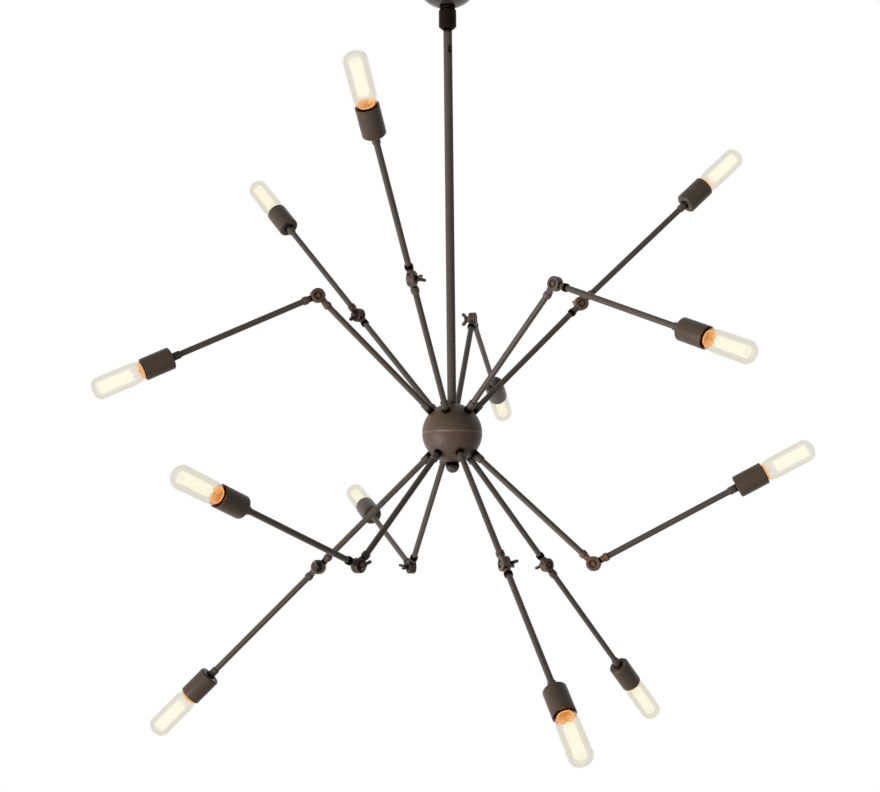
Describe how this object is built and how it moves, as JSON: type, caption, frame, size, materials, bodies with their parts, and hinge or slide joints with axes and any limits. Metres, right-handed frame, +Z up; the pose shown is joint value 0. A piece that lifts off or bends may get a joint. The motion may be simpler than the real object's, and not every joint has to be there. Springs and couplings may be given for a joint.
{
  "type": "pendant light",
  "caption": "Ceiling pendant with a thin stem, a ball hub and jointed arms locked by wing screws, each ending in a small cup with a clear tubular lamp.",
  "frame": {"origin": "middle of the ceiling bracket's top face, between its two slots", "axes": "+Z up, the way the bracket bears on the ceiling; +X along the bracket; -Y towards the viewer of the picture"},
  "size_m": [0.7302, 0.6973, 0.8182],
  "materials": {
    "dark_bronze": "satin dark bronze",
    "zinc_steel": "plated",
    "cable_jacket": "matte",
    "clear_glass": "clear"
  },
  "bodies": {
    "frame": {"ceiling_bracket": "zinc_steel", "canopy": "dark_bronze", "canopy_nipple": "zinc_steel", "canopy_collar": "dark_bronze", "stem": "dark_bronze", "hub_upper": "dark_bronze", "hub_lower": "dark_bronze", "finial": "dark_bronze", "inner_arms": "dark_bronze", "knuckle_bases": "dark_bronze", "wiring": "cable_jacket", "fasteners": "zinc_steel"},
    "arm_upper_1": {"outer_arm_upper_1": "dark_bronze", "socket_cup_upper_1": "dark_bronze", "bulb_upper_1": "clear_glass"},
    "screw_upper_1": {"wing_screw_upper_1": "dark_bronze"},
    "arm_upper_2": {"outer_arm_upper_2": "dark_bronze", "socket_cup_upper_2": "dark_bronze", "bulb_upper_2": "clear_glass"},
    "screw_upper_2": {"wing_screw_upper_2": "dark_bronze"},
    "arm_upper_3": {"outer_arm_upper_3": "dark_bronze", "socket_cup_upper_3": "dark_bronze", "bulb_upper_3": "clear_glass"},
    "screw_upper_3": {"wing_screw_upper_3": "dark_bronze"},
    "arm_upper_4": {"outer_arm_upper_4": "dark_bronze", "socket_cup_upper_4": "dark_bronze", "bulb_upper_4": "clear_glass"},
    "screw_upper_4": {"wing_screw_upper_4": "dark_bronze"},
    "arm_upper_5": {"outer_arm_upper_5": "dark_bronze", "socket_cup_upper_5": "dark_bronze", "bulb_upper_5": "clear_glass"},
    "screw_upper_5": {"wing_screw_upper_5": "dark_bronze"},
    "arm_upper_6": {"outer_arm_upper_6": "dark_bronze", "socket_cup_upper_6": "dark_bronze", "bulb_upper_6": "clear_glass"},
    "screw_upper_6": {"wing_screw_upper_6": "dark_bronze"},
    "arm_lower_1": {"outer_arm_lower_1": "dark_bronze", "socket_cup_lower_1": "dark_bronze", "bulb_lower_1": "clear_glass"},
    "screw_lower_1": {"wing_screw_lower_1": "dark_bronze"},
    "arm_lower_2": {"outer_arm_lower_2": "dark_bronze", "socket_cup_lower_2": "dark_bronze", "bulb_lower_2": "clear_glass"},
    "screw_lower_2": {"wing_screw_lower_2": "dark_bronze"},
    "arm_lower_3": {"outer_arm_lower_3": "dark_bronze", "socket_cup_lower_3": "dark_bronze", "bulb_lower_3": "clear_glass"},
    "screw_lower_3": {"wing_screw_lower_3": "dark_bronze"},
    "arm_lower_4": {"outer_arm_lower_4": "dark_bronze", "socket_cup_lower_4": "dark_bronze", "bulb_lower_4": "clear_glass"},
    "screw_lower_4": {"wing_screw_lower_4": "dark_bronze"},
    "arm_lower_5": {"outer_arm_lower_5": "dark_bronze", "socket_cup_lower_5": "dark_bronze", "bulb_lower_5": "clear_glass"},
    "screw_lower_5": {"wing_screw_lower_5": "dark_bronze"},
    "arm_lower_6": {"outer_arm_lower_6": "dark_bronze", "socket_cup_lower_6": "dark_bronze", "bulb_lower_6": "clear_glass"},
    "screw_lower_6": {"wing_screw_lower_6": "dark_bronze"}
  },
  "joints": [
    {"name": "knuckle_upper_1", "type": "hinge", "parent": "frame", "child": "arm_upper_1", "pos_m": [-0.03793, -0.13962, -0.35832], "axis": [0.965, -0.2622, 0], "range_deg": [-60, 120]},
    {"name": "wing_turn_upper_1", "type": "hinge", "parent": "frame", "child": "screw_upper_1", "pos_m": [-0.03793, -0.13962, -0.35832], "axis": [0.965, -0.2622, 0], "range_deg": [0, 270]},
    {"name": "knuckle_upper_2", "type": "hinge", "parent": "frame", "child": "arm_upper_2", "pos_m": [0.10547, -0.09904, -0.35832], "axis": [0.6845, 0.729, 0], "range_deg": [-126.2, 53.8]},
    {"name": "wing_turn_upper_2", "type": "hinge", "parent": "frame", "child": "screw_upper_2", "pos_m": [0.10547, -0.09904, -0.35832], "axis": [0.6845, 0.729, 0], "range_deg": [0, 270]},
    {"name": "knuckle_upper_3", "type": "hinge", "parent": "frame", "child": "arm_upper_3", "pos_m": [0.14092, 0.03279, -0.35832], "axis": [-0.2267, 0.974, 0], "range_deg": [-61.5, 118.5]},
    {"name": "wing_turn_upper_3", "type": "hinge", "parent": "frame", "child": "screw_upper_3", "pos_m": [0.14092, 0.03279, -0.35832], "axis": [-0.2267, 0.974, 0], "range_deg": [0, 270]},
    {"name": "knuckle_upper_4", "type": "hinge", "parent": "frame", "child": "arm_upper_4", "pos_m": [0.02487, 0.14253, -0.35832], "axis": [-0.9851, 0.1719, 0], "range_deg": [-125.1, 54.9]},
    {"name": "wing_turn_upper_4", "type": "hinge", "parent": "frame", "child": "screw_upper_4", "pos_m": [0.02487, 0.14253, -0.35832], "axis": [-0.9851, 0.1719, 0], "range_deg": [0, 270]},
    {"name": "knuckle_upper_5", "type": "hinge", "parent": "frame", "child": "arm_upper_5", "pos_m": [-0.10355, 0.10105, -0.35832], "axis": [-0.6984, -0.7157, 0], "range_deg": [-60, 120]},
    {"name": "wing_turn_upper_5", "type": "hinge", "parent": "frame", "child": "screw_upper_5", "pos_m": [-0.10355, 0.10105, -0.35832], "axis": [-0.6984, -0.7157, 0], "range_deg": [0, 270]},
    {"name": "knuckle_upper_6", "type": "hinge", "parent": "frame", "child": "arm_upper_6", "pos_m": [-0.13843, -0.04206, -0.35832], "axis": [0.2907, -0.9568, 0], "range_deg": [-128.9, 51.1]},
    {"name": "wing_turn_upper_6", "type": "hinge", "parent": "frame", "child": "screw_upper_6", "pos_m": [-0.13843, -0.04206, -0.35832], "axis": [-0.2907, 0.9568, 0], "range_deg": [0, 270]},
    {"name": "knuckle_lower_1", "type": "hinge", "parent": "frame", "child": "arm_lower_1", "pos_m": [0.04911, -0.13869, -0.63914], "axis": [-0.9426, -0.3338, 0], "range_deg": [-60, 120]},
    {"name": "wing_turn_lower_1", "type": "hinge", "parent": "frame", "child": "screw_lower_1", "pos_m": [0.04911, -0.13869, -0.63914], "axis": [0.9426, 0.3338, 0], "range_deg": [0, 270]},
    {"name": "knuckle_lower_2", "type": "hinge", "parent": "frame", "child": "arm_lower_2", "pos_m": [0.14438, -0.02833, -0.63914], "axis": [-0.1925, -0.9813, 0], "range_deg": [-130.5, 49.5]},
    {"name": "wing_turn_lower_2", "type": "hinge", "parent": "frame", "child": "screw_lower_2", "pos_m": [0.14438, -0.02833, -0.63914], "axis": [0.1925, 0.9813, 0], "range_deg": [0, 270]},
    {"name": "knuckle_lower_3", "type": "hinge", "parent": "frame", "child": "arm_lower_3", "pos_m": [0.10294, 0.10512, -0.63914], "axis": [0.7145, -0.6997, 0], "range_deg": [-60, 120]},
    {"name": "wing_turn_lower_3", "type": "hinge", "parent": "frame", "child": "screw_lower_3", "pos_m": [0.10294, 0.10512, -0.63914], "axis": [-0.7145, 0.6997, 0], "range_deg": [0, 270]},
    {"name": "knuckle_lower_4", "type": "hinge", "parent": "frame", "child": "arm_lower_4", "pos_m": [-0.0479, 0.13912, -0.63914], "axis": [0.9455, 0.3256, 0], "range_deg": [-125.9, 54.1]},
    {"name": "wing_turn_lower_4", "type": "hinge", "parent": "frame", "child": "screw_lower_4", "pos_m": [-0.0479, 0.13912, -0.63914], "axis": [-0.9455, -0.3256, 0], "range_deg": [0, 270]},
    {"name": "knuckle_lower_5", "type": "hinge", "parent": "frame", "child": "arm_lower_5", "pos_m": [-0.14402, 0.03009, -0.63914], "axis": [0.2045, 0.9789, 0], "range_deg": [-60, 120]},
    {"name": "wing_turn_lower_5", "type": "hinge", "parent": "frame", "child": "screw_lower_5", "pos_m": [-0.14402, 0.03009, -0.63914], "axis": [-0.2045, -0.9789, 0], "range_deg": [0, 270]},
    {"name": "knuckle_lower_6", "type": "hinge", "parent": "frame", "child": "arm_lower_6", "pos_m": [-0.09379, -0.11337, -0.63914], "axis": [-0.7705, 0.6374, 0], "range_deg": [-122.1, 57.9]},
    {"name": "wing_turn_lower_6", "type": "hinge", "parent": "frame", "child": "screw_lower_6", "pos_m": [-0.09379, -0.11337, -0.63914], "axis": [0.7705, -0.6374, 0], "range_deg": [0, 270]}
  ]
}
